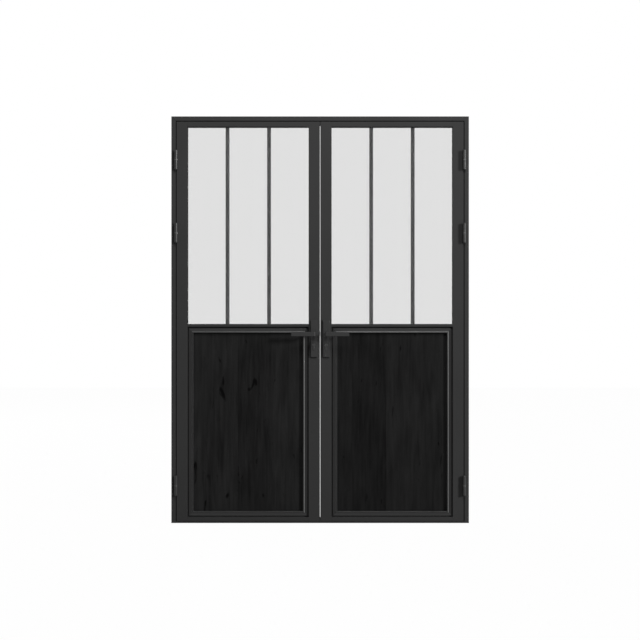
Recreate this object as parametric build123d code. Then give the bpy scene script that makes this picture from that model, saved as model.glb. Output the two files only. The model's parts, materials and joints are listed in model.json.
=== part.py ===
from build123d import *
import os

# A pair of glazed french doors hung in a metal frame, leaves opening towards -Y.
# The origin is under the middle of the threshold, +Z is up and the hinge side faces -Y.

# Frame
frame_width = 1500.0
frame_height = 2050.0
frame_depth = 70.0
frame_face = 22.0
frame_stop = 16.0
profile_wall = 2.0
threshold_height = 7.0
threshold_nose = 4.0
threshold_upstand = 12.0
seal_gap = 4.0
seal_width = 10.0
seal_inset = 2.0
seal_clearance = 0.3
fixing_hole_radius = 4.25
fixing_end_inset = 150.0
fixing_inner_inset = 700.0

# Leaves
leaf_depth = 44.0
leaf_setback = 1.0
leaf_gap = 4.0
threshold_gap = 2.5
meeting_gap = 4.0
meeting_front_gap = 2.0
meeting_back_gap = 4.4
hinge_stile_face = 55.0
lock_stile_face = 56.0
top_rail_face = 26.0
bottom_rail_face = 20.0
glass_sill_height = 1003.5
mid_rail_face = 14.0
mid_tube_height = 17.0
rebate_width = 12.0
nose_depth = 12.0
vent_radius = 4.0

# Sealed glazing units and panels
gasket_thickness = 2.0
gasket_inset = 1.0
edge_clearance = 3.0
pane_thickness = 4.0
cavity_width = 12.0
spacer_width = 6.0
spacer_inset = 2.0
bar_width = 19.5
bar_thickness = 10.0
bar_chamfer = 2.5
bars_per_leaf = 2
bead_chamfer = 3.0

# Planted moulding round each wooden panel
moulding_groove = 6.0
moulding_top_groove = 8.0
moulding_width = 23.0
moulding_flat_height = 7.0
moulding_flat_width = 14.0
moulding_crest_height = 12.0
moulding_round = 0.8
moulding_flange_width = 5.0
moulding_flange_height = 4.0

# Lift-off hinges
bottom_hinge_height = 189.0
second_hinge_drop = 588.0
top_hinge_drop = 220.0
knuckle_radius = 8.0
knuckle_half_length = 50.0
knuckle_chamfer = 2.0
knuckle_clearance = 0.3
flag_thickness = 1.3
flag_depth = 30.0
pin_radius = 4.5
pin_length = 76.0
pin_fit = 0.05
washer_radius = 8.6
washer_thickness = 2.0

# Lock cases and handles
spindle_backset = 29.0
spindle_height = 953.0
spindle_side = 8.0
spindle_fit = 0.1
spindle_reach = 25.0
spindle_hole_radius = 6.5
lock_case_width = 38.0
lock_case_thickness = 16.0
lock_case_above = 65.0
lock_case_below = 105.0
faceplate_width = 20.0
faceplate_margin = 10.0
cutout_fit = 0.2
plate_width = 33.0
plate_above = 70.0
plate_below = 117.0
plate_thickness = 8.0
plate_edge_chamfer = 1.5
plate_corner_chamfer = 1.0
lever_neck_radius = 7.0
lever_neck_fit = 0.05
lever_face_clearance = 0.3
lever_standoff = 46.0
lever_height = 22.0
lever_thickness = 9.0
lever_length = 114.0
lever_overhang = 7.0
lever_edge_chamfer = 1.5
lever_bend_radius = 7.0

# Euro cylinders
cylinder_drop = 57.0
cylinder_radius = 8.5
cylinder_tail_radius = 5.0
cylinder_tail_drop = 19.5
cylinder_fit = 0.25
cylinder_proud = 2.0
plug_radius = 6.4
plug_fit = 0.05
keyway_width = 2.4
keyway_height = 9.0
keyway_depth = 22.0

# Bolts
bolt_fit = 0.3
bolt_throw = 12.0
centre_bolt_height = 20.0
centre_bolt_thickness = 10.0
centre_bolt_tail = 22.0
centre_bolt_nose = 1.0
strike_clearance = 2.0
shoot_bolt_radius = 5.0
shoot_bolt_setback = 10.0
shoot_bolt_recess = 3.0
shoot_bolt_top_engaged = 33.0
shoot_bolt_bottom_engaged = 22.0
keep_clearance = 1.0

# Places worked out from the sizes above
half_width = frame_width / 2
jamb_x = half_width - frame_face
stop_x = jamb_x - frame_stop
front_y = -frame_depth / 2
back_y = frame_depth / 2
head_z = frame_height - frame_face
head_stop_z = head_z - frame_stop
leaf_front = front_y + leaf_setback
leaf_back = leaf_front + leaf_depth
leaf_middle = leaf_front + leaf_depth / 2
stop_front = leaf_back + seal_gap
upstand_z = threshold_height + threshold_upstand
leaf_top = head_z - leaf_gap
leaf_bottom = threshold_height + threshold_gap
hinge_edge = -(jamb_x - leaf_gap)
meeting_edge = -meeting_gap / 2
open_left = hinge_edge + hinge_stile_face
open_right = meeting_edge - lock_stile_face
open_top = leaf_top - top_rail_face
open_bottom = leaf_bottom + bottom_rail_face
rebate_left = open_left - rebate_width
rebate_right = open_right + rebate_width
rebate_top = open_top + rebate_width
rebate_bottom = open_bottom - rebate_width
mid_shelf = glass_sill_height - rebate_width
mid_face_bottom = glass_sill_height - mid_rail_face
mid_tube_bottom = mid_shelf - mid_tube_height
nose_back = leaf_front + nose_depth
infill_front = nose_back + gasket_thickness
infill_thickness = 2 * pane_thickness + cavity_width
infill_back = infill_front + infill_thickness
bead_front = infill_back + gasket_thickness
fixing_heights = (
    fixing_end_inset,
    fixing_inner_inset,
    frame_height - fixing_inner_inset,
    frame_height - fixing_end_inset,
)
hinge_heights = (
    bottom_hinge_height,
    frame_height - second_hinge_drop,
    frame_height - top_hinge_drop,
)
hinge_x = -(jamb_x - leaf_gap / 2)
hinge_y = front_y - washer_radius - knuckle_clearance
spindle_x = meeting_edge - spindle_backset
case_edge = meeting_edge - profile_wall
plate_top = spindle_height + plate_above
plate_bottom = spindle_height - plate_below
case_top = spindle_height + lock_case_above
case_bottom = spindle_height - lock_case_below
cylinder_z = spindle_height - cylinder_drop
shoot_bolt_x = -(case_edge - shoot_bolt_setback)


def block(x, y, z):
    """Box between two x, two y and two z values."""
    centre = Pos((x[0] + x[1]) / 2, (y[0] + y[1]) / 2, (z[0] + z[1]) / 2)
    return centre * Box(abs(x[1] - x[0]), abs(y[1] - y[0]), abs(z[1] - z[0]))


def flat_shape(points):
    """Face inside a closed row of points."""
    return make_face(Polyline(*points, close=True))


def along_x(points, x):
    """Extrude an outline of (y, z) points between two x values."""
    return extrude(Plane.YZ.offset(x[0]) * flat_shape(points), amount=x[1] - x[0])


def along_y(points, y):
    """Extrude an outline of (x, z) points between two y values."""
    return extrude(Plane.XZ.offset(-y[1]) * flat_shape(points), amount=y[1] - y[0])


def along_z(points, z):
    """Extrude an outline of (x, y) points between two z values."""
    return extrude(Pos(0, 0, z[0]) * flat_shape(points), amount=z[1] - z[0])


def rod(radius, x, y, z):
    """Upright round bar at x, y between two z values."""
    return Pos(x, y, (z[0] + z[1]) / 2) * Cylinder(radius, z[1] - z[0])


def rod_y(radius, x, z, y):
    """Round bar along Y at x, z between two y values."""
    return Pos(x, (y[0] + y[1]) / 2, z) * Rot(90, 0, 0) * Cylinder(radius, y[1] - y[0])


def mitres(x, z, width):
    """Left, right, bottom and top outlines of a frame whose corners meet at 45 degrees."""
    inner_x = (x[0] + width, x[1] - width)
    inner_z = (z[0] + width, z[1] - width)
    corners = [(x[0], z[0]), (x[1], z[0]), (x[1], z[1]), (x[0], z[1])]
    inside = [(inner_x[0], inner_z[0]), (inner_x[1], inner_z[0])]
    inside += [(inner_x[1], inner_z[1]), (inner_x[0], inner_z[1])]
    sides = {}
    for name, first, second in (("bottom", 0, 1), ("right", 1, 2), ("top", 2, 3), ("left", 3, 0)):
        sides[name] = [corners[first], corners[second], inside[second], inside[first]]
    return sides


def mitred_frame(x, z, width, profile):
    """Four lengths of one profile face, drawn as (distance in from the edge, y), mitred round a rectangle."""
    across = x[1] - x[0]
    upright = z[1] - z[0]
    runs = {
        "left": ((x[0], 0, z[0]), (1, 0, 0), (0, 0, 1), upright),
        "bottom": ((x[1], 0, z[0]), (0, 0, 1), (-1, 0, 0), across),
        "right": ((x[1], 0, z[1]), (-1, 0, 0), (0, 0, -1), upright),
        "top": ((x[0], 0, z[1]), (0, 0, -1), (1, 0, 0), across),
    }
    depth = profile.bounding_box()
    outlines = mitres(x, z, width)
    lengths = []
    for name, (corner, inward, along, length) in runs.items():
        bar = extrude(Plane(corner, x_dir=inward, z_dir=along) * profile, amount=length)
        lengths.append((bar & along_y(outlines[name], (depth.min.Y, depth.max.Y))).solid())
    return lengths


def other_side(shapes):
    """Mirror one solid or a list of solids to the other leaf."""
    if isinstance(shapes, list):
        return [mirror(shape, about=Plane.YZ) for shape in shapes]
    return mirror(shapes, about=Plane.YZ)


# Fixed frame

def left_jamb():
    """Hollow jamb with its stop, mitred to the head and drilled for the wall fixings."""
    wall = profile_wall
    height = (0, frame_height)
    body = block((-half_width, -jamb_x), (front_y, back_y), height)
    body += block((-jamb_x, -stop_x), (stop_front, back_y), height)
    body -= block((-half_width + wall, -jamb_x - wall), (front_y + wall, back_y - wall), height)
    body -= block((-jamb_x - wall, -stop_x - wall), (stop_front + wall, back_y - wall), height)
    width = frame_face + frame_stop
    outline = [(-half_width, 0), (-stop_x, 0), (-stop_x, frame_height - width), (-half_width, frame_height)]
    body &= along_y(outline, (front_y, back_y))
    for fixing_z in fixing_heights:
        centre = Pos(-(half_width + stop_x) / 2, (stop_front + back_y) / 2, fixing_z)
        body -= centre * Rot(0, 90, 0) * Cylinder(fixing_hole_radius, 2 * width)
    return body.solid()


def head():
    """Hollow head with its stop, mitred to both jambs, with the keep for the top bolt."""
    wall = profile_wall
    span = (-half_width, half_width)
    body = block(span, (front_y, back_y), (head_z, frame_height))
    body += block(span, (stop_front, back_y), (head_stop_z, head_z))
    body -= block(span, (front_y + wall, back_y - wall), (head_z + wall, frame_height - wall))
    body -= block(span, (stop_front + wall, back_y - wall), (head_stop_z + wall, head_z + wall))
    outline = [
        (-half_width, frame_height),
        (half_width, frame_height),
        (stop_x, head_stop_z),
        (-stop_x, head_stop_z),
    ]
    body &= along_y(outline, (front_y, back_y))
    keep = shoot_bolt_radius + keep_clearance
    body -= rod(keep, shoot_bolt_x, leaf_middle, (head_z - wall, head_z + 2 * wall))
    return body.solid()


def threshold():
    """Low hollow threshold between the jambs, with its upstand behind the leaves and the lower keep."""
    wall = profile_wall
    outline = [
        (front_y, 0),
        (front_y, threshold_height - threshold_nose),
        (front_y + threshold_nose, threshold_height),
        (stop_front, threshold_height),
        (stop_front, upstand_z),
        (back_y, upstand_z),
        (back_y, 0),
    ]
    span = (-jamb_x, jamb_x)
    body = along_x(outline, span)
    body -= block(span, (front_y + threshold_nose, back_y - wall), (wall, threshold_height - wall))
    body -= block(span, (stop_front + wall, back_y - wall), (threshold_height - wall, upstand_z - wall))
    for side in (-1, 1):
        body -= block((side * stop_x, side * jamb_x), (stop_front, back_y), (0, upstand_z))
    keep = shoot_bolt_radius + keep_clearance
    body -= rod(keep, shoot_bolt_x, leaf_middle, (-wall, threshold_height + wall))
    return body.solid()


def frame_seal():
    """Rubber strip on all four stops, just clear of the closed leaves."""
    x = (-jamb_x + seal_inset, jamb_x - seal_inset)
    z = (threshold_height + seal_inset, head_z - seal_inset)
    near = leaf_back + seal_clearance
    profile = flat_shape([(0, near), (seal_width, near), (seal_width, stop_front), (0, stop_front)])
    return mitred_frame(x, z, seal_width, profile)


# Hinges, three to a leaf, each with a fixed lower half and a lift-off upper half

def knuckle(z, free_end_up):
    """Barrel of one hinge half between two heights, bevelled at its free end."""
    barrel = rod(knuckle_radius, hinge_x, hinge_y, z)
    edges = barrel.edges().filter_by(GeomType.CIRCLE).sort_by(Axis.Z)
    outer = edges[-1] if free_end_up else edges[0]
    return chamfer(outer, knuckle_chamfer)


def hinge_flag(x, z):
    """Thin flag that carries a barrel from the edge of a jamb or stile."""
    return block(x, (hinge_y, front_y + flag_depth), z)


def hinge_halves():
    """Lower halves, upper halves, pins and washers of the left hinges."""
    lower, upper, pins, washers = [], [], [], []
    for middle in hinge_heights:
        low_z = (middle - knuckle_half_length, middle - washer_thickness / 2)
        high_z = (middle + washer_thickness / 2, middle + knuckle_half_length)
        pin_z = (middle - pin_length / 2, middle + pin_length / 2)
        low = knuckle(low_z, False)
        low += hinge_flag((-jamb_x, -jamb_x + flag_thickness), low_z)
        low -= rod(pin_radius + pin_fit, hinge_x, hinge_y, (pin_z[0], low_z[1]))
        high = knuckle(high_z, True)
        high += hinge_flag((hinge_edge - flag_thickness, hinge_edge), high_z)
        high -= rod(pin_radius + pin_fit, hinge_x, hinge_y, (high_z[0], pin_z[1] + pin_fit))
        ring = rod(washer_radius, hinge_x, hinge_y, (low_z[1], high_z[0] - pin_fit))
        ring -= rod(pin_radius + pin_fit, hinge_x, hinge_y, (low_z[1], high_z[0]))
        lower.append(low.solid())
        upper.append(high.solid())
        pins.append(rod(pin_radius, hinge_x, hinge_y, pin_z).solid())
        washers.append(ring.solid())
    return lower, upper, pins, washers


# Leaf frame, drawn for the left leaf

def hinge_stile():
    """Full-height hollow stile on the hinge side, with the glazing nose at the front."""
    wall = profile_wall
    height = (leaf_bottom, leaf_top)
    inside = (leaf_bottom + wall, leaf_top - wall)
    body = block((hinge_edge, rebate_left), (leaf_front, leaf_back), height)
    body += block((rebate_left, open_left), (leaf_front, nose_back), height)
    body -= block((hinge_edge + wall, rebate_left - wall), (leaf_front + wall, leaf_back - wall), inside)
    body -= block((rebate_left - wall, open_left - wall), (leaf_front + wall, nose_back - wall), inside)
    middle = (hinge_edge + rebate_left) / 2
    body -= rod(vent_radius, middle, leaf_middle, (leaf_bottom - wall, leaf_bottom + 2 * wall))
    return body.solid()


def lock_stile(with_shoot_bolts):
    """Full-height hollow stile with a bevelled meeting edge, cut for the lock, handles and cylinder."""
    wall = profile_wall
    height = (leaf_bottom, leaf_top)
    inside = (leaf_bottom + wall, leaf_top - wall)
    outline = [
        (rebate_right, leaf_front),
        (-meeting_front_gap / 2, leaf_front),
        (-meeting_back_gap / 2, leaf_back),
        (rebate_right, leaf_back),
    ]
    body = along_z(outline, height)
    body += block((open_right, rebate_right), (leaf_front, nose_back), height)
    body -= block((rebate_right + wall, meeting_edge - wall), (leaf_front + wall, leaf_back - wall), inside)
    body -= block((open_right + wall, rebate_right + wall), (leaf_front + wall, nose_back - wall), inside)
    body -= faceplate_blank(cutout_fit, 0)
    body -= rod_y(spindle_hole_radius, spindle_x, spindle_height, (leaf_front, leaf_back))
    body -= cylinder_blank((leaf_front, leaf_back), cylinder_fit)
    if with_shoot_bolts:
        guide = shoot_bolt_radius + bolt_fit
        body -= rod(guide, -shoot_bolt_x, leaf_middle, (leaf_top - 2 * wall, leaf_top + wall))
        body -= rod(guide, -shoot_bolt_x, leaf_middle, (leaf_bottom - wall, leaf_bottom + 2 * wall))
    return body.solid()


def coped(body, z):
    """Cut a rail's front corners back so that it closes over the noses of both stiles."""
    body -= block((rebate_left, open_left), (leaf_front, nose_back), z)
    body -= block((open_right, rebate_right), (leaf_front, nose_back), z)
    return body.solid()


def top_rail():
    """Hollow top rail with its glazing nose pointing down."""
    wall = profile_wall
    span = (rebate_left, rebate_right)
    body = block(span, (leaf_front, leaf_back), (rebate_top, leaf_top))
    body += block(span, (leaf_front, nose_back), (open_top, rebate_top))
    body -= block(span, (leaf_front + wall, leaf_back - wall), (rebate_top + wall, leaf_top - wall))
    body -= block(span, (leaf_front + wall, nose_back - wall), (open_top + wall, rebate_top + wall))
    return coped(body, (open_top, leaf_top))


def bottom_rail():
    """Hollow bottom rail with its panel nose pointing up."""
    wall = profile_wall
    span = (rebate_left, rebate_right)
    body = block(span, (leaf_front, leaf_back), (leaf_bottom, rebate_bottom))
    body += block(span, (leaf_front, nose_back), (rebate_bottom, open_bottom))
    body -= block(span, (leaf_front + wall, leaf_back - wall), (leaf_bottom + wall, rebate_bottom - wall))
    body -= block(span, (leaf_front + wall, nose_back - wall), (rebate_bottom - wall, open_bottom - wall))
    return coped(body, (leaf_bottom, open_bottom))


def mid_rail():
    """Middle rail: a slim front face over a hollow bar that parts the glass from the panel."""
    wall = profile_wall
    span = (rebate_left, rebate_right)
    body = block(span, (leaf_front, nose_back), (mid_face_bottom, glass_sill_height))
    body += block(span, (leaf_front, leaf_back), (mid_face_bottom, mid_shelf))
    body += block(span, (infill_front, leaf_back), (mid_tube_bottom, mid_shelf))
    body -= block(span, (leaf_front + wall, nose_back - wall), (mid_shelf, glass_sill_height - wall))
    body -= block(span, (infill_front + wall, leaf_back - wall), (mid_tube_bottom + wall, mid_face_bottom))
    return coped(body, (mid_face_bottom, glass_sill_height))


# Glazing and panel

pane_x = (rebate_left + edge_clearance, rebate_right - edge_clearance)
pane_z = (mid_shelf + edge_clearance, rebate_top - edge_clearance)
panel_z = (rebate_bottom + edge_clearance, mid_tube_bottom - edge_clearance)
cavity_y = (infill_front + pane_thickness, infill_back - pane_thickness)


def inset(pair, amount):
    """Pull both ends of a range inwards."""
    return (pair[0] + amount, pair[1] - amount)


def pane_spacer():
    """Spacer bar that keeps the two panes apart, close to their edges."""
    x = inset(pane_x, spacer_inset)
    z = inset(pane_z, spacer_inset)
    body = block(x, cavity_y, z)
    body -= block(inset(x, spacer_width), cavity_y, inset(z, spacer_width))
    return body.solid()


def glazing_bars():
    """Upright bars inside the glazing unit that part it into equal lights."""
    z = inset(pane_z, spacer_inset + spacer_width)
    clear = (open_right - open_left - bars_per_leaf * bar_width) / (bars_per_leaf + 1)
    bar_y = inset(cavity_y, (cavity_width - bar_thickness) / 2)
    bars = []
    for index in range(bars_per_leaf):
        x = open_left + (index + 1) * clear + (index + 0.5) * bar_width
        bar = block((x - bar_width / 2, x + bar_width / 2), bar_y, z)
        bars.append(chamfer(bar.edges().filter_by(Axis.Z), bar_chamfer).solid())
    return bars


def gaskets():
    """Rubber strips in front of and behind the glazing unit and the panel."""
    outer_x = (rebate_left, rebate_right)
    inner_x = (open_left - gasket_inset, open_right + gasket_inset)
    strips = []
    for y in ((nose_back, infill_front), (infill_back, bead_front)):
        strip = block(outer_x, y, (mid_shelf, rebate_top))
        strip -= block(inner_x, y, (glass_sill_height - gasket_inset, open_top + gasket_inset))
        strips.append(strip.solid())
    y = (nose_back, infill_front)
    strip = block(outer_x, y, (rebate_bottom, panel_z[1]))
    strip -= block(inner_x, y, (open_bottom - gasket_inset, panel_z[1]))
    strips.append(strip.solid())
    y = (infill_back, bead_front)
    strip = block(outer_x, y, (rebate_bottom, mid_tube_bottom))
    strip -= block(inner_x, y, (open_bottom - gasket_inset, mid_tube_bottom - rebate_width + gasket_inset))
    strips.append(strip.solid())
    return strips


def rear_beads():
    """Clip-in beads with a sloping edge, mitred behind the glazing unit and behind the panel."""
    profile = flat_shape([
        (0, bead_front),
        (rebate_width, bead_front),
        (rebate_width, leaf_back - bead_chamfer),
        (rebate_width - bead_chamfer, leaf_back),
        (0, leaf_back),
    ])
    x = (rebate_left, rebate_right)
    beads = mitred_frame(x, (mid_shelf, rebate_top), rebate_width, profile)
    beads += mitred_frame(x, (rebate_bottom, mid_tube_bottom), rebate_width, profile)
    return beads


def panel_moulding():
    """Mitred moulding planted round the panel: thin flange, flat step and a rounded rise to its inner edge."""
    crest = infill_front - moulding_crest_height
    flat = infill_front - moulding_flat_height
    flange = infill_front - moulding_flange_height
    edge = moulding_flange_width
    width = edge + moulding_width
    step = (edge + moulding_flat_width, flat)
    top = (width - moulding_round, crest)
    outline = TangentArc(top, step, tangent=(-1, 0))
    outline += Polyline(
        step,
        (edge + moulding_round, flat),
        (edge, flat + moulding_round),
        (edge, flange),
        (0, flange),
        (0, infill_front),
        (width, infill_front),
        (width, crest + moulding_round),
        top,
    )
    profile = make_face(outline)
    side_gap = moulding_groove - edge
    top_gap = moulding_top_groove - edge
    x = (open_left + side_gap, open_right - side_gap)
    z = (open_bottom + side_gap, mid_face_bottom - top_gap)
    return mitred_frame(x, z, width, profile)


# Lock, handles and bolts

def faceplate_blank(extra, edge):
    """Strip let into the edge of the lock stile, out to a given x."""
    half = faceplate_width / 2 + extra
    z = (case_bottom - faceplate_margin - extra, case_top + faceplate_margin + extra)
    return block((case_edge, edge), (leaf_middle - half, leaf_middle + half), z)


def cylinder_blank(y, extra):
    """Pear-shaped section of the euro cylinder between two depths."""
    tail_z = cylinder_z - cylinder_tail_drop
    tail = cylinder_tail_radius + extra
    body = rod_y(cylinder_radius + extra, spindle_x, cylinder_z, y)
    body += block((spindle_x - tail, spindle_x + tail), y, (tail_z, cylinder_z))
    body += rod_y(tail, spindle_x, tail_z, y)
    return body


def centre_bolt(extra, reach):
    """Flat bolt at spindle height, from its tail in the case to a given x."""
    tail = -centre_bolt_tail
    half_y = centre_bolt_thickness / 2 + extra
    half_z = centre_bolt_height / 2 + extra
    return block(
        (tail - extra, reach),
        (leaf_middle - half_y, leaf_middle + half_y),
        (spindle_height - half_z, spindle_height + half_z),
    )


def strike_pocket():
    """Room in the passive leaf for the centre bolt, drawn on the left side."""
    depth = bolt_throw + strike_clearance
    half_y = centre_bolt_thickness / 2 + strike_clearance
    half_z = centre_bolt_height / 2 + strike_clearance
    return block(
        (-depth, meeting_edge),
        (leaf_middle - half_y, leaf_middle + half_y),
        (spindle_height - half_z, spindle_height + half_z),
    )


def lock_case():
    """Lock body let into the stile behind its faceplate, bored for spindle and cylinder."""
    half = lock_case_thickness / 2
    x = (case_edge - lock_case_width, case_edge)
    body = block(x, (leaf_middle - half, leaf_middle + half), (case_bottom, case_top))
    body -= rod_y(spindle_hole_radius, spindle_x, spindle_height, (leaf_front, leaf_back))
    body -= cylinder_blank((leaf_front, leaf_back), cylinder_fit)
    return body


def handle_plate(face, out):
    """Long handle plate on one face of the leaf, pierced for the lever neck and the cylinder."""
    outer = face + out * plate_thickness
    y = (min(face, outer), max(face, outer))
    body = block(
        (spindle_x - plate_width / 2, spindle_x + plate_width / 2),
        y,
        (plate_bottom, plate_top),
    )
    body = chamfer(body.edges().filter_by(Axis.Y), plate_corner_chamfer)
    rim = body.faces().sort_by(Axis.Y)[-1 if out > 0 else 0]
    body = chamfer(rim.edges(), plate_edge_chamfer)
    body -= rod_y(lever_neck_radius + lever_neck_fit, spindle_x, spindle_height, y)
    body -= cylinder_blank(y, cylinder_fit)
    return body.solid()


def lever(face, out):
    """Flat bar lever on a round neck, rounded where it turns, with a square socket for the spindle."""
    near = face + out * lever_face_clearance
    inner = face + out * lever_standoff
    outer = inner + out * lever_thickness
    turn_x = spindle_x + lever_overhang
    tip_x = spindle_x - lever_length
    bar = block(
        (tip_x, turn_x),
        (inner, outer),
        (spindle_height - lever_height / 2, spindle_height + lever_height / 2),
    )
    corners = bar.edges().filter_by(Axis.Z)
    turn = corners.sort_by_distance((turn_x, outer, spindle_height))[0]
    bar = fillet(turn, lever_bend_radius)
    bar = chamfer(bar.edges().filter_by(Axis.Z).sort_by(Axis.X)[:2], lever_edge_chamfer)
    rims = bar.faces().filter_by(Axis.Z)
    bar = chamfer(rims.edges(), lever_edge_chamfer)
    middle = (inner + outer) / 2
    body = bar + rod_y(lever_neck_radius, spindle_x, spindle_height, (min(near, middle), max(near, middle)))
    body -= square_bar(spindle_fit, (near, face + out * (spindle_reach + lever_face_clearance)))
    return body.solid()


def square_bar(extra, y):
    """Square section of the spindle between two depths."""
    half = spindle_side / 2 + extra
    x = (spindle_x - half, spindle_x + half)
    z = (spindle_height - half, spindle_height + half)
    return block(x, y, z)


def spindle():
    """Square spindle through the lock, from one lever to the other."""
    return square_bar(0, (leaf_front - spindle_reach, leaf_back + spindle_reach)).solid()


cylinder_y = (
    leaf_front - plate_thickness - cylinder_proud,
    leaf_back + plate_thickness + cylinder_proud,
)


def cylinder_body():
    """Euro cylinder housing, bored for the plug."""
    body = cylinder_blank(cylinder_y, 0)
    body -= rod_y(plug_radius + plug_fit, spindle_x, cylinder_z, cylinder_y)
    return body.solid()


def cylinder_plug():
    """Turning plug with a keyway at each end."""
    body = rod_y(plug_radius, spindle_x, cylinder_z, cylinder_y)
    half = keyway_width / 2
    z = (cylinder_z - plug_radius, cylinder_z - plug_radius + keyway_height)
    for y in ((cylinder_y[0], cylinder_y[0] + keyway_depth), (cylinder_y[1] - keyway_depth, cylinder_y[1])):
        body -= block((spindle_x - half, spindle_x + half), y, z)
    return body.solid()


def shoot_bolts():
    """Top and bottom rods of the passive leaf, drawn on the left side."""
    top = (case_top - shoot_bolt_top_engaged, leaf_top - shoot_bolt_recess)
    bottom = (leaf_bottom + shoot_bolt_recess, case_bottom + shoot_bolt_bottom_engaged)
    rods = []
    for z in (top, bottom):
        rods.append(rod(shoot_bolt_radius, -shoot_bolt_x, leaf_middle, z).solid())
    return rods


def shoot_bolt_bores():
    """Blind guides in the lock case for the two rods."""
    guide = shoot_bolt_radius + bolt_fit
    top = (case_top - shoot_bolt_top_engaged - bolt_fit, case_top)
    bottom = (case_bottom, case_bottom + shoot_bolt_bottom_engaged + bolt_fit)
    return rod(guide, -shoot_bolt_x, leaf_middle, top) + rod(guide, -shoot_bolt_x, leaf_middle, bottom)


# All nodes by name

nodes = {
    "frame_left_jamb": left_jamb(),
    "frame_right_jamb": other_side(left_jamb()),
    "frame_head": head(),
    "frame_threshold": threshold(),
    "frame_seal": frame_seal(),
}

lower_halves, upper_halves, hinge_pins, hinge_washers = hinge_halves()
for side in ("left", "right"):
    placed = other_side if side == "right" else (lambda shapes: shapes)
    nodes[f"{side}_hinge_frame_halves"] = placed(lower_halves)
    nodes[f"{side}_hinge_leaf_halves"] = placed(upper_halves)
    nodes[f"{side}_hinge_pins"] = placed(hinge_pins)
    nodes[f"{side}_hinge_washers"] = placed(hinge_washers)

    passive = side == "right"
    nodes[f"{side}_hinge_stile"] = placed(hinge_stile())
    nodes[f"{side}_lock_stile"] = placed(lock_stile(passive))
    nodes[f"{side}_top_rail"] = placed(top_rail())
    nodes[f"{side}_mid_rail"] = placed(mid_rail())
    nodes[f"{side}_bottom_rail"] = placed(bottom_rail())

    front_pane = block(pane_x, (infill_front, cavity_y[0]), pane_z).solid()
    rear_pane = block(pane_x, (cavity_y[1], infill_back), pane_z).solid()
    nodes[f"{side}_front_pane"] = placed(front_pane)
    nodes[f"{side}_rear_pane"] = placed(rear_pane)
    nodes[f"{side}_pane_spacer"] = placed(pane_spacer())
    nodes[f"{side}_glazing_bars"] = placed(glazing_bars())
    nodes[f"{side}_gaskets"] = placed(gaskets())
    nodes[f"{side}_rear_beads"] = placed(rear_beads())
    panel = block(pane_x, (infill_front, infill_back), panel_z).solid()
    nodes[f"{side}_panel"] = placed(panel)
    nodes[f"{side}_panel_moulding"] = placed(panel_moulding())

    case = lock_case()
    faceplate = faceplate_blank(0, meeting_edge)
    if passive:
        case = case - strike_pocket() - shoot_bolt_bores()
        faceplate = faceplate - strike_pocket()
    else:
        case = case - centre_bolt(bolt_fit, 0)
        faceplate = faceplate - centre_bolt(bolt_fit, 0)
    nodes[f"{side}_lock_case"] = placed(case.solid())
    nodes[f"{side}_faceplate"] = placed(faceplate.solid())
    nodes[f"{side}_handle_plate_front"] = placed(handle_plate(leaf_front, -1))
    nodes[f"{side}_handle_plate_rear"] = placed(handle_plate(leaf_back, 1))
    nodes[f"{side}_cylinder"] = placed(cylinder_body())
    nodes[f"{side}_cylinder_plug"] = placed(cylinder_plug())
    nodes[f"{side}_lever_front"] = placed(lever(leaf_front, -1))
    nodes[f"{side}_lever_rear"] = placed(lever(leaf_back, 1))
    nodes[f"{side}_spindle"] = placed(spindle())

bolt_nose = centre_bolt(0, 0).faces().sort_by(Axis.X)[-1]
nodes["left_centre_bolt"] = chamfer(bolt_nose.edges(), centre_bolt_nose).solid()
top_bolt, bottom_bolt = other_side(shoot_bolts())
nodes["right_top_bolt"] = top_bolt
nodes["right_bottom_bolt"] = bottom_bolt

os.makedirs("parts", exist_ok=True)
for name, shape in nodes.items():
    solid = Compound(shape) if isinstance(shape, list) else shape
    export_step(solid, f"parts/{name}.step")
print(len(nodes), "nodes")
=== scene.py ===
import json
import math

import bmesh
import bpy
from bpy.props import FloatProperty, FloatVectorProperty, IntProperty, PointerProperty
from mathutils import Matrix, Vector


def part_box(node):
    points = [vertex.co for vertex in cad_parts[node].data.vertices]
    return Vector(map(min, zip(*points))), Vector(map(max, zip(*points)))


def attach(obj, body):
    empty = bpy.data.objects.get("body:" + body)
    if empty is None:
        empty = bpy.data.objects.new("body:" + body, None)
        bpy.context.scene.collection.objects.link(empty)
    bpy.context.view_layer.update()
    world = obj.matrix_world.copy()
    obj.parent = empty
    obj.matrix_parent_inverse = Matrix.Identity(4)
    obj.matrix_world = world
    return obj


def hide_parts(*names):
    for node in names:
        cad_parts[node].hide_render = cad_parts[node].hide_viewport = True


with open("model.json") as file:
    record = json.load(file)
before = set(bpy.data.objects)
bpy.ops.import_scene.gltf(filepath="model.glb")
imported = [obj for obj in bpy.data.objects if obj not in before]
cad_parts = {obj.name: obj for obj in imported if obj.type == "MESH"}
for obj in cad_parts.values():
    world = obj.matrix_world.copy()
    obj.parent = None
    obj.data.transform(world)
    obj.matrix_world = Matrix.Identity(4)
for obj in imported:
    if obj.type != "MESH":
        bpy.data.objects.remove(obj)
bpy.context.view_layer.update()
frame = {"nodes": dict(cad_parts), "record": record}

bl_info = {
    "name": "Glazed French Doors",
    "version": (1, 0, 0),
    "blender": (4, 5, 0),
    "location": "View3D > Sidebar > French Doors",
    "description": "Dresses a framed pair of half-glazed metal doors with wooden lower panels",
    "category": "Object",
}

SIDES = ("left", "right")


def colour_property(name, description, default):
    """A colour setting in linear light."""
    return FloatVectorProperty(
        name=name, description=description, default=default, subtype="COLOR", size=3, min=0.0, max=1.0
    )


def grey_property(name, description, level):
    """A neutral grey setting in linear light."""
    return colour_property(name, description, (level, level, level))


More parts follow.
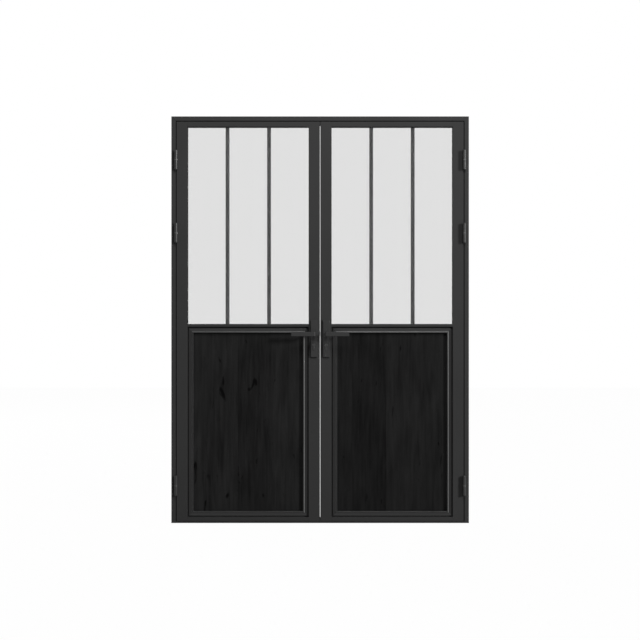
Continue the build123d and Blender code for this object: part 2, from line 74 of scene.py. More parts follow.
def length_property(name, description, default):
    """A length setting in metres."""
    return FloatProperty(name=name, description=description, default=default, unit="LENGTH", min=0.0)


def place_property(name, description, default):
    """A point's setting in metres."""
    return FloatVectorProperty(
        name=name, description=description, default=default, subtype="TRANSLATION", unit="LENGTH", size=3
    )


def power_property(name, description, default):
    """A lamp's power setting in watts."""
    return FloatProperty(name=name, description=description, default=default, unit="POWER", min=0.0)


def share_property(name, description, default):
    """A setting between none and all."""
    return FloatProperty(
        name=name, description=description, default=default, subtype="FACTOR", min=0.0, max=1.0
    )


class DoorFinish(bpy.types.PropertyGroup):
    """Colours of the painted metal, glass, wood, rubber and bare metal."""

    paint: grey_property("Frame paint", "Satin charcoal coat of the frame and leaves", 0.031)
    hinge_paint: grey_property("Hinge paint", "Coat of the hinge barrels", 0.021)
    handle_paint: grey_property("Handle paint", "Coat of the levers and plates", 0.0195)
    bar_paint: grey_property("Bar paint", "Coat of the bars between the panes", 0.0225)
    wood_dark: grey_property("Dark grain", "Darkest streaks of the stained panels", 0.0015)
    wood_light: grey_property("Light grain", "Palest streaks of the stained panels", 0.0178)
    glass: grey_property("Glass", "Grey tint of one pane", 0.86)
    rubber: grey_property("Rubber", "Seals and gaskets", 0.012)
    steel: colour_property("Steel", "Faceplates, bolts, spindles and screws", (0.42, 0.42, 0.41))
    cylinder: grey_property("Cylinder", "Darkened metal of the lock cylinders", 0.045)
    washer: grey_property("Washer", "Dull rings between the hinge halves", 0.12)


class DoorSizes(bpy.types.PropertyGroup):
    """Edge rounding and screw sizes."""

    profile_edge: length_property("Profile edge", "Rounding of the metal profiles", 0.0005)
    trim_edge: length_property("Trim edge", "Rounding of beads, bars and mouldings", 0.0004)
    hinge_edge: length_property("Hinge edge", "Rounding of the hinge parts", 0.0004)
    handle_edge: length_property("Handle edge", "Rounding of the levers and plates", 0.0006)
    lock_edge: length_property("Lock edge", "Rounding of the cylinder and faceplate", 0.0002)
    screw_radius: length_property("Screw radius", "Radius of a screw head", 0.0034)
    screw_height: length_property("Screw height", "How far a screw head stands out", 0.0005)
    screw_recess: length_property("Screw recess", "Width of the cross in a screw head", 0.0009)
    screw_inset: length_property("Screw inset", "Screw centre to the end of its plate", 0.0105)
    edge_steps: IntProperty(
        name="Edge steps", description="Facets across a rounded edge", default=2, min=1, max=6
    )


class DoorStage(bpy.types.PropertyGroup):
    """Camera, lamps and background."""

    camera_distance: length_property("Camera distance", "Camera to the face of the leaves", 6.0)
    camera_side: FloatProperty(
        name="Camera side", description="Camera to the middle of the doors", default=-0.0006, unit="LENGTH"
    )
    view_width: length_property("View width", "Width of the picture at the face of the leaves", 3.227)
    aim_height: length_property("Aim height", "Height that the camera looks at", 1.0235)
    lamp_aim: place_property("Lamp aim", "Point that the lamps face", (0.0, 0.0, 1.1))
    key_place: place_property("Key place", "Key lamp, far to the right", (9.0, -5.4, 3.8))
    key_power: power_property("Key power", "Power of the key lamp", 1380.0)
    key_width: length_property("Key width", "Width of the key lamp", 1.1)
    key_height: length_property("Key height", "Height of the key lamp", 1.6)
    top_place: place_property("Top place", "Top lamp, above the front", (0.6, -2.6, 4.4))
    top_power: power_property("Top power", "Power of the top lamp", 130.0)
    top_size: length_property("Top size", "Width and height of the top lamp", 1.4)
    rear_place: place_property("Rear place", "Rear lamp, behind the doors", (-4.6, 6.2, 4.8))
    rear_power: power_property("Rear power", "Power of the rear lamp", 950.0)
    rear_size: length_property("Rear size", "Width and height of the rear lamp", 2.4)
    ambient: FloatProperty(name="Ambient", description="Even light from all round", default=0.11, min=0.0)
    floor_grey: grey_property("Floor grey", "Floor where the lamps light it", 0.3)
    floor_glow: share_property("Floor glow", "Share of the floor that stays white", 0.985)
    floor_reach: length_property("Floor reach", "Middle of the floor to its edges", 12.0)


# Material helpers

NOISE_SPREAD = (0.3, 0.7)
NONE_TO_ALL = (0.0, 1.0)
ALL_TO_NONE = (1.0, 0.0)


class Shader:
    """A material's node tree with short calls for the nodes used here."""

    def __init__(self, name):
        self.material = bpy.data.materials.new(name)
        self.material.use_nodes = True
        self.nodes = self.material.node_tree.nodes
        self.links = self.material.node_tree.links
        self.surface = self.nodes["Principled BSDF"]
        self.output = self.nodes["Material Output"]

    def add(self, kind, **settings):
        """A new node with its own properties set."""
        node = self.nodes.new(kind)
        for name, value in settings.items():
            setattr(node, name, value)
        return node

    def link(self, source, target):
        """Feed one socket from another."""
        self.links.new(source, target)

    def feed(self, socket, value):
        """Set a socket to a value, or link it to another socket."""
        if isinstance(value, bpy.types.NodeSocket):
            self.link(value, socket)
        else:
            socket.default_value = value

    def place(self, scale=(1.0, 1.0, 1.0)):
        """Object coordinates, stretched."""
        source = self.add("ShaderNodeTexCoord").outputs["Object"]
        mapping = self.add("ShaderNodeMapping")
        mapping.inputs["Scale"].default_value = scale
        self.link(source, mapping.inputs["Vector"])
        return mapping.outputs["Vector"]

    def noise(self, vector, scale, detail=3.0, roughness=0.5, distortion=0.0):
        """Value of a noise texture, about 0.5 on average."""
        node = self.add("ShaderNodeTexNoise")
        self.link(vector, node.inputs["Vector"])
        node.inputs["Scale"].default_value = scale
        node.inputs["Detail"].default_value = detail
        node.inputs["Roughness"].default_value = roughness
        node.inputs["Distortion"].default_value = distortion
        return node.outputs["Fac"]

    def math(self, operation, first, second=0.0):
        """One arithmetic step."""
        node = self.add("ShaderNodeMath", operation=operation)
        self.feed(node.inputs[0], first)
        self.feed(node.inputs[1], second)
        return node.outputs[0]

    def span(self, value, source, target, smooth=False):
        """Map one range of values to another, held at its ends."""
        node = self.add("ShaderNodeMapRange")
        if smooth:
            node.interpolation_type = "SMOOTHSTEP"
        self.link(value, node.inputs["Value"])
        for name, number in zip(("From Min", "From Max", "To Min", "To Max"), (*source, *target)):
            node.inputs[name].default_value = number
        return node.outputs["Result"]

    def blend(self, factor, first, second):
        """Colour between two colours."""
        node = self.add("ShaderNodeMix", data_type="RGBA")
        self.feed(node.inputs["Factor"], factor)
        for socket, value in zip((node.inputs[6], node.inputs[7]), (first, second)):
            self.feed(socket, value if isinstance(value, bpy.types.NodeSocket) else (*value, 1.0))
        return node.outputs[2]

    def spread(self, value):
        """The usual run of a noise, drawn out from none to all."""
        return self.span(value, NOISE_SPREAD, NONE_TO_ALL)

    def split(self, vector):
        """The three parts of a vector."""
        node = self.add("ShaderNodeSeparateXYZ")
        self.link(vector, node.inputs[0])
        return node.outputs["X"], node.outputs["Y"], node.outputs["Z"]

    def bump(self, height, distance, strength=1.0, normal=None):
        """Normal raised by a height, with its depth in metres."""
        node = self.add("ShaderNodeBump")
        node.inputs["Distance"].default_value = distance
        node.inputs["Strength"].default_value = strength
        self.link(height, node.inputs["Height"])
        if normal is not None:
            self.link(normal, node.inputs["Normal"])
        return node.outputs["Normal"]

    def set(self, **values):
        """Set or link inputs of the main shader, with underscores for spaces."""
        for name, value in values.items():
            self.feed(self.surface.inputs[name.replace("_", " ")], value)


def shade_of(colour, amount):
    """A colour made darker or lighter by a factor."""
    return tuple(channel * amount for channel in colour)


# Materials

def satin_coat(name, colour, roughness, shine):
    """Powder coat with fine orange peel and a slow drift in tone and gloss: its shader, place and tone."""
    tone_drift = 0.05
    gloss_drift = 0.04
    peel_depth = 0.00003
    shader = Shader(name)
    plain = shader.place()
    drift = shader.spread(shader.noise(plain, scale=2.3, detail=4.0))
    tone = shader.blend(drift, shade_of(colour, 1.0 - tone_drift), shade_of(colour, 1.0 + tone_drift))
    peel = shader.noise(plain, scale=1400.0, detail=2.0)
    sheen = shader.noise(plain, scale=9.0, detail=5.0)
    gloss = shader.span(sheen, NOISE_SPREAD, (roughness - gloss_drift, roughness + gloss_drift))
    shader.set(Roughness=gloss, Specular_IOR_Level=shine, Normal=shader.bump(peel, peel_depth))
    return shader, plain, tone


def painted_metal(name, colour, roughness, shine):
    """Satin powder coat of one colour."""
    shader, _, tone = satin_coat(name, colour, roughness, shine)
    shader.set(Base_Color=tone)
    return shader.material


def level_lengths(shader, across, height, low, high):
    """All on the level lengths of a mitred moulding and none on its upright ones, for both leaves."""
    mitre_line = 0.0002
    middle = (low + high) / 2
    reach = (high - low) / 2
    from_middle = shader.math("SUBTRACT", shader.math("ABSOLUTE", across), abs(middle.x))
    from_mid_height = shader.math("SUBTRACT", height, middle.z)
    to_side = shader.math("SUBTRACT", reach.x, shader.math("ABSOLUTE", from_middle))
    to_end = shader.math("SUBTRACT", reach.z, shader.math("ABSOLUTE", from_mid_height))
    return shader.span(shader.math("SUBTRACT", to_side, to_end), (-mitre_line, mitre_line), NONE_TO_ALL)


def moulding_paint(name, colour, node):
    """Coat of the panel mouldings, with light and shade painted in: paler on the rounded rise as a painted
    highlight, paler on the level lengths as painted light from above, and a paler base with no gloss in
    the groove as painted light and shade.
    """
    shine = 0.235
    low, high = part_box(node)
    crest = low.y
    # The rise between these depths carries a painted highlight; the groove from here back carries painted
    # light and shade.
    rise_top = (crest + 0.0012, crest + 0.0020)
    rise_foot = (crest + 0.0044, crest + 0.0048)
    groove = (crest + 0.0060, crest + 0.0070)
    upright_tone = shade_of(colour, 0.25)
    # Painted light: the level lengths are painted paler to stand in for the light falling on them from
    # above.
    level_painted_light = shade_of(colour, 0.58)
    # Painted light and shade in the groove: a paler base so the lit grooves read lighter.
    groove_painted_tone = shade_of(colour, 0.75)
    # Painted highlight on the rounded rise, stronger on the upright lengths where the key lamp glints.
    upright_painted_highlight = shade_of(colour, 3.4)
    level_painted_highlight = shade_of(colour, 1.9)
    shader, plain, tone = satin_coat(name, upright_tone, roughness=0.32, shine=shine)
    across, depth, height = shader.split(plain)
    level = level_lengths(shader, across, height, low, high)
    # The level lengths take the paler tone here as painted light.
    tone = shader.blend(level, tone, level_painted_light)
    # The groove takes its painted tone here.
    tone = shader.blend(shader.span(depth, groove, NONE_TO_ALL), tone, groove_painted_tone)
    # Painted highlight: the band of the rise between these depths is painted paler.
    below_top = shader.span(depth, rise_top, NONE_TO_ALL)
    above_foot = shader.span(depth, rise_foot, ALL_TO_NONE)
    rise_painted_highlight = shader.blend(level, upright_painted_highlight, level_painted_highlight)
    tone = shader.blend(shader.math("MULTIPLY", below_top, above_foot), tone, rise_painted_highlight)
    # Painted shade in the groove: its gloss is taken away so it reads dark where shadow falls.
    shader.set(Base_Color=tone, Specular_IOR_Level=shader.span(depth, groove, (shine, 0.0)))
    return shader.material


def stained_wood(name, finish, shift, seed, dark_board, painted_shade):
    """Black-stained boards: upright grain, darker and lighter boards, small dark knots; the last factor
    darkens the whole panel as painted shade.
    """
    board_width = 0.172
    lengthwise_slide = 7.0
    depth_slide = 3.0
    shader = Shader(name)
    here = shader.place()
    across, _, _ = shader.split(here)
    board = shader.math("FLOOR", shader.math("DIVIDE", shader.math("ADD", across, shift), board_width))
    draw = shader.add("ShaderNodeTexWhiteNoise", noise_dimensions="1D")
    shader.link(shader.math("ADD", board, seed), draw.inputs["W"])
    tone = draw.outputs["Value"]
    boards_off = shader.math("ABSOLUTE", shader.math("SUBTRACT", board, dark_board))
    pale = shader.math("MINIMUM", boards_off, 1.0)
    slide = shader.add("ShaderNodeCombineXYZ")
    shader.link(shader.math("MULTIPLY", tone, lengthwise_slide), slide.inputs["Z"])
    shader.link(shader.math("MULTIPLY", board, depth_slide), slide.inputs["Y"])
    moved = shader.add("ShaderNodeVectorMath", operation="ADD")
    shader.link(here, moved.inputs[0])
    shader.link(slide.outputs[0], moved.inputs[1])

    def upright(length):
        """Coordinates of each board, drawn out along the grain."""
        mapping = shader.add("ShaderNodeMapping")
        mapping.inputs["Scale"].default_value = (1.0, 1.0, length)
        shader.link(moved.outputs[0], mapping.inputs["Vector"])
        return mapping.outputs["Vector"]

    streaks = shader.noise(upright(0.07), scale=60.0, detail=6.0, roughness=0.6, distortion=0.4)
    fibres = shader.noise(upright(0.02), scale=420.0, detail=3.0)
    patches = shader.noise(upright(0.25), scale=16.0, detail=4.0, roughness=0.55)
    knots = shader.noise(upright(0.33), scale=24.0, detail=2.0, roughness=0.4, distortion=1.2)
    dark_spot = shader.span(knots, (0.66, 0.78), NONE_TO_ALL, smooth=True)
    layers = (
        (shader.spread(streaks), 0.40),
        (shader.spread(patches), 0.30),
        (fibres, 0.10),
        (tone, 0.06),
        (pale, 0.14),
        (dark_spot, -0.6),
    )
    grain = 0.0
    for layer, weight in layers:
        grain = shader.math("ADD", shader.math("MULTIPLY", layer, weight), grain)
    # The light grain is scaled here by the painted shade factor.
    shader.set(Base_Color=shader.blend(grain, finish.wood_dark, shade_of(finish.wood_light, painted_shade)))
    shader.set(Roughness=shader.span(streaks, NOISE_SPREAD, (0.62, 0.5)))
    relief = shader.bump(streaks, distance=0.0007, strength=0.6)
    relief = shader.bump(fibres, distance=0.0002, strength=0.5, normal=relief)
    shader.set(Normal=relief, Specular_IOR_Level=0.02)
    return shader.material


def clear_glass(name, tint):
    """Float glass with a slight grey tint that lets lamp light through."""
    shader = Shader(name)
    shader.set(Base_Color=(*tint, 1.0), Roughness=0.0, IOR=1.3, Transmission_Weight=1.0)
    passed = shader.add("ShaderNodeBsdfTransparent")
    passed.inputs["Color"].default_value = (*tint, 1.0)
    path = shader.add("ShaderNodeLightPath")
    choice = shader.add("ShaderNodeMixShader")
    shader.link(path.outputs["Is Shadow Ray"], choice.inputs["Fac"])
    shader.link(shader.surface.outputs[0], choice.inputs[1])
    shader.link(passed.outputs[0], choice.inputs[2])
    shader.link(choice.outputs[0], shader.output.inputs["Surface"])
    return shader.material


def seal_rubber(name, colour):
    """Matt extruded rubber with a fine grain along its surface."""
    shader = Shader(name)
    plain = shader.place()
    grain = shader.noise(plain, scale=700.0, detail=3.0)
    bloom = shader.noise(plain, scale=30.0, detail=4.0)
    base = shader.blend(shader.span(bloom, (0.35, 0.75), NONE_TO_ALL), colour, shade_of(colour, 1.5))
    shader.set(Base_Color=base, Roughness=shader.span(bloom, NOISE_SPREAD, (0.62, 0.8)))
    shader.set(Normal=shader.bump(grain, distance=0.00008), Specular_IOR_Level=0.0)
    return shader.material


def brushed_metal(name, colour, roughness, stretch):
    """Bare metal with fine lines along one direction."""
    gloss_drift = 0.08
    shader = Shader(name)
    lines = shader.noise(shader.place(stretch), scale=2200.0, detail=3.0)
    smear = shader.noise(shader.place(), scale=40.0, detail=4.0)
    base = shader.blend(shader.spread(smear), shade_of(colour, 0.88), shade_of(colour, 1.08))
    gloss = shader.span(lines, NOISE_SPREAD, (roughness - gloss_drift, roughness + gloss_drift))
    shader.set(Base_Color=base, Metallic=1.0, Roughness=gloss)
    shader.set(Normal=shader.bump(lines, distance=0.00001))
    return shader.material


FINISHES = {}


def finish_named(name):
    """The material of one finish, made the first time it is asked for."""
    if name in FINISHES:
        return FINISHES[name]
    finish = bpy.context.scene.door_finish
    upright_lines = (1.0, 1.0, 0.02)
    lines_in_depth = (1.0, 0.02, 1.0)
    no_lines = (1.0, 1.0, 1.0)
    plug = shade_of(finish.cylinder, 1.4)
    makers = {
        "frame_paint": lambda: painted_metal(name, finish.paint, roughness=0.6, shine=0.0),
        "hinge_paint": lambda: painted_metal(name, finish.hinge_paint, roughness=0.34, shine=0.22),
        "handle_paint": lambda: painted_metal(name, finish.handle_paint, roughness=0.36, shine=0.2),
        "bead_paint": lambda: moulding_paint(name, finish.paint, "left_panel_moulding"),
        "bar_paint": lambda: painted_metal(name, finish.bar_paint, roughness=0.5, shine=0.05),
        "left_stained_wood": lambda: stained_wood(
            name, finish, shift=0.072, seed=11.0, dark_board=-2.0, painted_shade=1.0
        ),
        # Painted shade: the right panel is darkened to offset the stronger key light on the right leaf.
        "right_stained_wood": lambda: stained_wood(
            name, finish, shift=0.010, seed=4.0, dark_board=1.0, painted_shade=0.82
        ),
        "clear_glass": lambda: clear_glass(name, finish.glass),
        "seal_rubber": lambda: seal_rubber(name, finish.rubber),
        "spacer_bar": lambda: seal_rubber(name, finish.rubber),
        "lock_steel": lambda: brushed_metal(name, finish.steel, 0.34, upright_lines),
        "cylinder_metal": lambda: brushed_metal(name, finish.cylinder, 0.36, lines_in_depth),
        "plug_metal": lambda: brushed_metal(name, plug, 0.3, lines_in_depth),
        "washer_metal": lambda: brushed_metal(name, finish.washer, 0.55, no_lines),
    }
    FINISHES[name] = makers[name]()
    return FINISHES[name]


# Mesh helpers

def plain_mesh(piece):
    """Bake a piece's modifiers into an ordinary mesh and remove them."""
    graph = bpy.context.evaluated_depsgraph_get()
    mesh = bpy.data.meshes.new_from_object(piece.evaluated_get(graph))
    piece.modifiers.clear()
    piece.data = mesh
    return mesh


def new_piece(name, mesh):
    """A linked object at the origin around a mesh."""
    piece = bpy.data.objects.new(name, mesh)
    bpy.context.scene.collection.objects.link(piece)
    return piece


def body_of_node(node):
    """The body that carries a node."""
    for body, members in frame["record"]["behaviour"]["bodies"].items():
        if node in members:
            return body
    raise RuntimeError(f"no body carries {node}")


def mitred_lengths(work, middle):
    """Vertices of each mitred length, told apart by the outer edge that its faces lie nearest to."""
    step_inside = 0.0005
    groups = {}
    for upper in (False, True):
        faces = [face for face in work.faces if (face.calc_center_median().z > middle) == upper]
        corners = [vert.co for face in faces for vert in face.verts]
        xs = [corner.x for corner in corners]
        zs = [corner.z for corner in corners]
        for face in faces:
            inside = face.calc_center_median() - face.normal * step_inside
            reach = (inside.x - min(xs), max(xs) - inside.x, inside.z - min(zs), max(zs) - inside.z)
            groups.setdefault((upper, reach.index(min(reach))), set()).update(face.verts)
    return list(groups.values())


def merged_copy(node, middle=None):
    """A joined-up copy of a node's triangles, flat areas as single faces, mitred lengths kept apart."""
    same_point = 1e-6
    same_plane = math.radians(0.5)
    mesh = frame["nodes"][node].data.copy()
    mesh.materials.clear()
    work = bmesh.new()
    work.from_mesh(mesh)
    groups = [work.verts[:]] if middle is None else mitred_lengths(work, middle)
    for group in groups:
        bmesh.ops.remove_doubles(work, verts=list(group), dist=same_point)
    bmesh.ops.dissolve_limit(work, angle_limit=same_plane, verts=work.verts, edges=work.edges)
    work.to_mesh(mesh)
    work.free()
    return mesh


def soften(node, edge, finish, middle=None):
    """Stand a copy of a node with rounded edges in its place, on the same body."""
    sharp_edge = math.radians(30.0)
    piece = new_piece(f"{node}_finished", merged_copy(node, middle))
    bevel = piece.modifiers.new("Rounded edges", "BEVEL")
    bevel.width = edge
    bevel.segments = bpy.context.scene.door_sizes.edge_steps
    bevel.limit_method = "ANGLE"
    bevel.angle_limit = sharp_edge
    weighted = piece.modifiers.new("Flat faces", "WEIGHTED_NORMAL")
    weighted.weight = 100
    piece.data.shade_smooth()
    mesh = plain_mesh(piece)
    mesh.materials.clear()
    mesh.materials.append(finish_named(finish))
    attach(piece, body_of_node(node))
    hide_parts(node)


def coat(node, finish):
    """Give a node its finish and leave its shape as it is."""
    shown = frame["nodes"][node]
    shown.data.materials.clear()
    shown.data.materials.append(finish_named(finish))


# Operators

class DOORS_OT_fixed_frame(bpy.types.Operator):
    """Jambs, head, threshold and the rubber strip on the stops"""

    bl_idname = "doors.fixed_frame"
    bl_label = "Fixed Frame"

    def execute(self, context):
        edge = context.scene.door_sizes.profile_edge
        for member in ("left_jamb", "right_jamb", "head", "threshold"):
            soften(f"frame_{member}", edge, "frame_paint")
        coat("frame_seal", "seal_rubber")
        return {"FINISHED"}


class DOORS_OT_hinges(bpy.types.Operator):
    """Lift-off hinges with their pins and washers"""

    bl_idname = "doors.hinges"
    bl_label = "Hinges"

    def execute(self, context):
        edge = context.scene.door_sizes.hinge_edge
        for side in SIDES:
            soften(f"{side}_hinge_frame_halves", edge, "hinge_paint")
            soften(f"{side}_hinge_leaf_halves", edge, "hinge_paint")
            soften(f"{side}_hinge_pins", edge, "lock_steel")
            soften(f"{side}_hinge_washers", edge, "washer_metal")
        return {"FINISHED"}


class DOORS_OT_leaf_frames(bpy.types.Operator):
    """Stiles, rails and rear beads of both leaves"""

    bl_idname = "doors.leaf_frames"
    bl_label = "Leaf Frames"

    def execute(self, context):
        sizes = context.scene.door_sizes
        for side in SIDES:
            for member in ("hinge_stile", "lock_stile", "top_rail", "mid_rail", "bottom_rail"):
                soften(f"{side}_{member}", sizes.profile_edge, "frame_paint")
            low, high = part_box(f"{side}_mid_rail")
            middle = (low.z + high.z) / 2
            soften(f"{side}_rear_beads", sizes.trim_edge, "frame_paint", middle)
        return {"FINISHED"}


class DOORS_OT_glazing(bpy.types.Operator):
    """Sealed units: panes, spacer, bars and gaskets"""

    bl_idname = "doors.glazing"
    bl_label = "Glazing"

    def execute(self, context):
        sizes = context.scene.door_sizes
        for side in SIDES:
            coat(f"{side}_front_pane", "clear_glass")
            coat(f"{side}_rear_pane", "clear_glass")
            coat(f"{side}_pane_spacer", "spacer_bar")
            coat(f"{side}_gaskets", "seal_rubber")
            soften(f"{side}_glazing_bars", sizes.trim_edge, "bar_paint")
        return {"FINISHED"}


class DOORS_OT_panels(bpy.types.Operator):
    """Stained wooden panels and the mouldings planted round them"""

    bl_idname = "doors.panels"
    bl_label = "Panels"

    def execute(self, context):
        sizes = context.scene.door_sizes
        for side in SIDES:
            coat(f"{side}_panel", f"{side}_stained_wood")
            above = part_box(f"{side}_panel_moulding")[1].z
            soften(f"{side}_panel_moulding", sizes.trim_edge, "bead_paint", above)
        return {"FINISHED"}


class DOORS_OT_locks(bpy.types.Operator):
    """Lock cases, faceplates, cylinders and bolts"""

    bl_idname = "doors.locks"
    bl_label = "Locks"

    def execute(self, context):
        edge = context.scene.door_sizes.lock_edge
        for side in SIDES:
            coat(f"{side}_lock_case", "lock_steel")
            coat(f"{side}_spindle", "lock_steel")
            soften(f"{side}_faceplate", edge, "lock_steel")
            soften(f"{side}_cylinder", edge, "cylinder_metal")
            soften(f"{side}_cylinder_plug", edge, "plug_metal")
        for bolt in ("left_centre_bolt", "right_top_bolt", "right_bottom_bolt"):
            soften(bolt, edge, "lock_steel")
        return {"FINISHED"}


class DOORS_OT_handles(bpy.types.Operator):
    """Long plates and flat levers on both faces"""

    bl_idname = "doors.handles"
    bl_label = "Handles"

    def execute(self, context):
        edge = context.scene.door_sizes.handle_edge
        for side in SIDES:
            for face in ("front", "rear"):
                soften(f"{side}_handle_plate_{face}", edge, "handle_paint")
                soften(f"{side}_lever_{face}", edge, "handle_paint")
        return {"FINISHED"}


def screw_tree(material):
    """Node tree that sets a cross-recessed screw head on every point it is given."""
    head_sides = 20
    top_share = 0.86
    arm_share = 1.1
    lift_share = 0.9
    tree = bpy.data.node_groups.new("Screw heads", "GeometryNodeTree")
    face = tree.interface
    face.new_socket("Points", in_out="INPUT", socket_type="NodeSocketGeometry")
    for name in ("Radius", "Height", "Recess"):
        face.new_socket(name, in_out="INPUT", socket_type="NodeSocketFloat")
    face.new_socket("Turn", in_out="INPUT", socket_type="NodeSocketVector")
    face.new_socket("Heads", in_out="OUTPUT", socket_type="NodeSocketGeometry")
    nodes = tree.nodes
    link = tree.links.new
    given = nodes.new("NodeGroupInput")
    result = nodes.new("NodeGroupOutput")

    def scaled(socket, factor):
        """A size times a factor."""
        node = nodes.new("ShaderNodeMath")
        node.operation = "MULTIPLY"
        link(socket, node.inputs[0])
        node.inputs[1].default_value = factor
        return node.outputs[0]

    head = nodes.new("GeometryNodeMeshCone")
    head.inputs["Vertices"].default_value = head_sides
    link(scaled(given.outputs["Radius"], top_share), head.inputs["Radius Top"])
    link(given.outputs["Radius"], head.inputs["Radius Bottom"])
    link(given.outputs["Height"], head.inputs["Depth"])
    arm_length = scaled(given.outputs["Radius"], arm_share)
    arms = []
    for long_axis in ("X", "Y"):
        size = nodes.new("ShaderNodeCombineXYZ")
        for axis in ("X", "Y"):
            source = arm_length if axis == long_axis else given.outputs["Recess"]
            link(source, size.inputs[axis])
        link(given.outputs["Height"], size.inputs["Z"])
        arm = nodes.new("GeometryNodeMeshCube")
        link(size.outputs[0], arm.inputs["Size"])
        lift = nodes.new("ShaderNodeCombineXYZ")
        link(scaled(given.outputs["Height"], lift_share), lift.inputs["Z"])
        raised = nodes.new("GeometryNodeTransform")
        link(arm.outputs["Mesh"], raised.inputs["Geometry"])
        link(lift.outputs[0], raised.inputs["Translation"])
        arms.append(raised.outputs["Geometry"])
    cut = nodes.new("GeometryNodeMeshBoolean")
    cut.operation = "DIFFERENCE"
    cut.solver = "EXACT"
    link(head.outputs["Mesh"], cut.inputs["Mesh 1"])
    for arm in arms:
        link(arm, cut.inputs["Mesh 2"])
    spread = nodes.new("GeometryNodeInstanceOnPoints")
    link(given.outputs["Points"], spread.inputs["Points"])
    link(cut.outputs["Mesh"], spread.inputs["Instance"])
    link(given.outputs["Turn"], spread.inputs["Rotation"])
    real = nodes.new("GeometryNodeRealizeInstances")
    link(spread.outputs["Instances"], real.inputs["Geometry"])
    painted = nodes.new("GeometryNodeSetMaterial")
    painted.inputs["Material"].default_value = material
    link(real.outputs["Geometry"], painted.inputs["Geometry"])
    link(painted.outputs["Geometry"], result.inputs["Heads"])
    return tree


def screw_heads(name, tree, places, turn, body):
    """Bake one group of screw heads that share a direction, and let it ride on its body."""
    sizes = bpy.context.scene.door_sizes
    points = bpy.data.meshes.new(name)
    points.from_pydata([tuple(place) for place in places], [], [])
    piece = new_piece(name, points)
    modifier = piece.modifiers.new("Screw heads", "NODES")
    modifier.node_group = tree
    values = {
        "Radius": sizes.screw_radius,
        "Height": sizes.screw_height,
        "Recess": sizes.screw_recess,
        "Turn": turn,
    }
    for item in tree.interface.items_tree:
        if item.item_type == "SOCKET" and item.in_out == "INPUT" and item.name in values:
            modifier[item.identifier] = values[item.name]
    plain_mesh(piece)
    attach(piece, body)


class DOORS_OT_screws(bpy.types.Operator):
    """Cross-head screws of the rear handle plates and the faceplates"""

    bl_idname = "doors.screws"
    bl_label = "Screws"

    def execute(self, context):
        sizes = context.scene.door_sizes
        steel_heads = screw_tree(finish_named("lock_steel"))
        dark_heads = screw_tree(finish_named("handle_paint"))
        quarter = math.pi / 2
        plate_turn = (-quarter, 0.3, 0.0)
        rise = sizes.screw_height / 2
        for side in SIDES:
            body = f"{side}_leaf"
            low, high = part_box(f"{side}_handle_plate_rear")
            middle = (low.x + high.x) / 2
            ends = (low.z + sizes.screw_inset, high.z - sizes.screw_inset)
            places = [Vector((middle, high.y + rise, z)) for z in ends]
            screw_heads(f"{side}_plate_screws", dark_heads, places, plate_turn, body)
            low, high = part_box(f"{side}_faceplate")
            outward = 1.0 if side == "left" else -1.0
            edge = high.x if side == "left" else low.x
            depth = (low.y + high.y) / 2
            inset = sizes.screw_inset / 2
            ends = (low.z + inset, high.z - inset)
            places = [Vector((edge + outward * rise, depth, z)) for z in ends]
            turn = (0.0, outward * quarter, 0.0)
            screw_heads(f"{side}_faceplate_screws", steel_heads, places, turn, body)
        return {"FINISHED"}


def white_backdrop(context):
    """White surroundings for the eye, gloss and glass, and a softer even light for the rest."""
    world = context.scene.world or bpy.data.worlds.new("Studio")
    context.scene.world = world
    world.use_nodes = True
    nodes = world.node_tree.nodes
    link = world.node_tree.links.new
    nodes.clear()
    path = nodes.new("ShaderNodeLightPath")
    seen = path.outputs["Is Camera Ray"]
    for ray in ("Is Glossy Ray", "Is Transmission Ray"):
        either = nodes.new("ShaderNodeMath")
        either.operation = "MAXIMUM"
        link(seen, either.inputs[0])
        link(path.outputs[ray], either.inputs[1])
        seen = either.outputs[0]
    ambient = nodes.new("ShaderNodeBackground")
    ambient.inputs["Strength"].default_value = context.scene.door_stage.ambient
    white = nodes.new("ShaderNodeBackground")
    choice = nodes.new("ShaderNodeMixShader")
    output = nodes.new("ShaderNodeOutputWorld")
    for background in (ambient, white):
        background.inputs["Color"].default_value = (1.0, 1.0, 1.0, 1.0)
    link(seen, choice.inputs["Fac"])
    link(ambient.outputs[0], choice.inputs[1])
    link(white.outputs[0], choice.inputs[2])
    link(choice.outputs[0], output.inputs["Surface"])


def pale_floor(context):
    """Wide white floor that keeps a faint shadow."""
    stage = context.scene.door_stage
    half = stage.floor_reach
    mesh = bpy.data.meshes.new("floor")
    corners = [(-half, -half, 0.0), (half, -half, 0.0), (half, half, 0.0), (-half, half, 0.0)]
    mesh.from_pydata(corners, [], [(0, 1, 2, 3)])
    floor = new_piece("floor", mesh)
    shader = Shader("pale_floor")
    shader.set(Base_Color=(*stage.floor_grey, 1.0), Roughness=0.9, Specular_IOR_Level=0.0)
    path = shader.add("ShaderNodeLightPath")
    seen = path.outputs["Is Camera Ray"]
    for ray in ("Is Glossy Ray", "Is Transmission Ray"):
        seen = shader.math("MAXIMUM", seen, path.outputs[ray])
    glow = shader.add("ShaderNodeEmission")
    glow.inputs["Color"].default_value = (1.0, 1.0, 1.0, 1.0)
    choice = shader.add("ShaderNodeMixShader")
    shader.link(shader.math("MULTIPLY", seen, stage.floor_glow), choice.inputs["Fac"])
    shader.link(shader.surface.outputs[0], choice.inputs[1])
    shader.link(glow.outputs[0], choice.inputs[2])
    shader.link(choice.outputs[0], shader.output.inputs["Surface"])
    mesh.materials.append(shader.material)


def area_lamp(name, place, aim, power, width, height):
    """Soft lamp turned towards a point."""
    lamp = bpy.data.lights.new(name, "AREA")
    lamp.shape = "RECTANGLE"
    lamp.energy = power
    lamp.size = width
    lamp.size_y = height
    holder = bpy.data.objects.new(name, lamp)
    holder.location = place
    holder.rotation_euler = (Vector(aim) - Vector(place)).to_track_quat("-Z", "Y").to_euler()
    bpy.context.scene.collection.objects.link(holder)


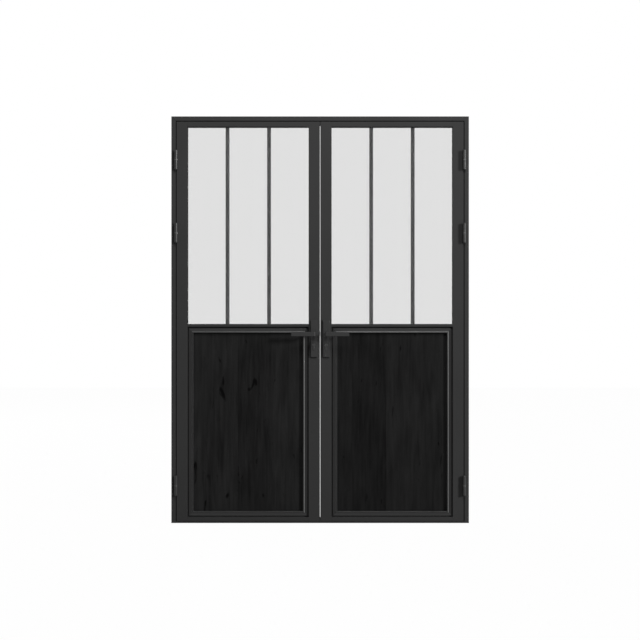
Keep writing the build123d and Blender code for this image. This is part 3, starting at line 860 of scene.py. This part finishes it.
class DOORS_OT_stage(bpy.types.Operator):
    """Floor, background, lamps and camera"""

    bl_idname = "doors.stage"
    bl_label = "Stage"

    def execute(self, context):
        stage = context.scene.door_stage
        context.scene.view_settings.view_transform = "Standard"
        white_backdrop(context)
        pale_floor(context)
        aim = stage.lamp_aim
        area_lamp("key_lamp", stage.key_place, aim, stage.key_power, stage.key_width, stage.key_height)
        area_lamp("rear_lamp", stage.rear_place, aim, stage.rear_power, stage.rear_size, stage.rear_size)
        area_lamp("top_lamp", stage.top_place, aim, stage.top_power, stage.top_size, stage.top_size)
        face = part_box("left_lock_stile")[0].y
        camera = bpy.data.cameras.new("camera")
        camera.sensor_width = 36.0
        camera.lens = camera.sensor_width * stage.camera_distance / stage.view_width
        holder = bpy.data.objects.new("camera", camera)
        holder.location = (stage.camera_side, face - stage.camera_distance, stage.aim_height)
        holder.rotation_euler = (math.pi / 2, 0.0, 0.0)
        context.scene.collection.objects.link(holder)
        context.scene.camera = holder
        return {"FINISHED"}


PIECE_OPERATORS = (
    DOORS_OT_fixed_frame,
    DOORS_OT_hinges,
    DOORS_OT_leaf_frames,
    DOORS_OT_glazing,
    DOORS_OT_panels,
    DOORS_OT_locks,
    DOORS_OT_handles,
    DOORS_OT_screws,
    DOORS_OT_stage,
)


class DOORS_PT_build(bpy.types.Panel):
    """Steps that dress the doors, in order"""

    bl_label = "French Doors"
    bl_idname = "DOORS_PT_build"
    bl_space_type = "VIEW_3D"
    bl_region_type = "UI"
    bl_category = "French Doors"

    def draw(self, context):
        for step in PIECE_OPERATORS:
            self.layout.operator(step.bl_idname)


SETTINGS = {"door_finish": DoorFinish, "door_sizes": DoorSizes, "door_stage": DoorStage}
CLASSES = (*SETTINGS.values(), *PIECE_OPERATORS, DOORS_PT_build)


def register():
    """Add the classes and the settings they read."""
    for item in CLASSES:
        bpy.utils.register_class(item)
    for name, group in SETTINGS.items():
        setattr(bpy.types.Scene, name, PointerProperty(type=group))


def unregister():
    """Take the settings and classes out again."""
    for name in SETTINGS:
        delattr(bpy.types.Scene, name)
    for item in reversed(CLASSES):
        bpy.utils.unregister_class(item)


def main():
    """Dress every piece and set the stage."""
    register()
    for step in PIECE_OPERATORS:
        group, name = step.bl_idname.split(".")
        getattr(getattr(bpy.ops, group), name)()


if __name__ == "__main__":
    main()
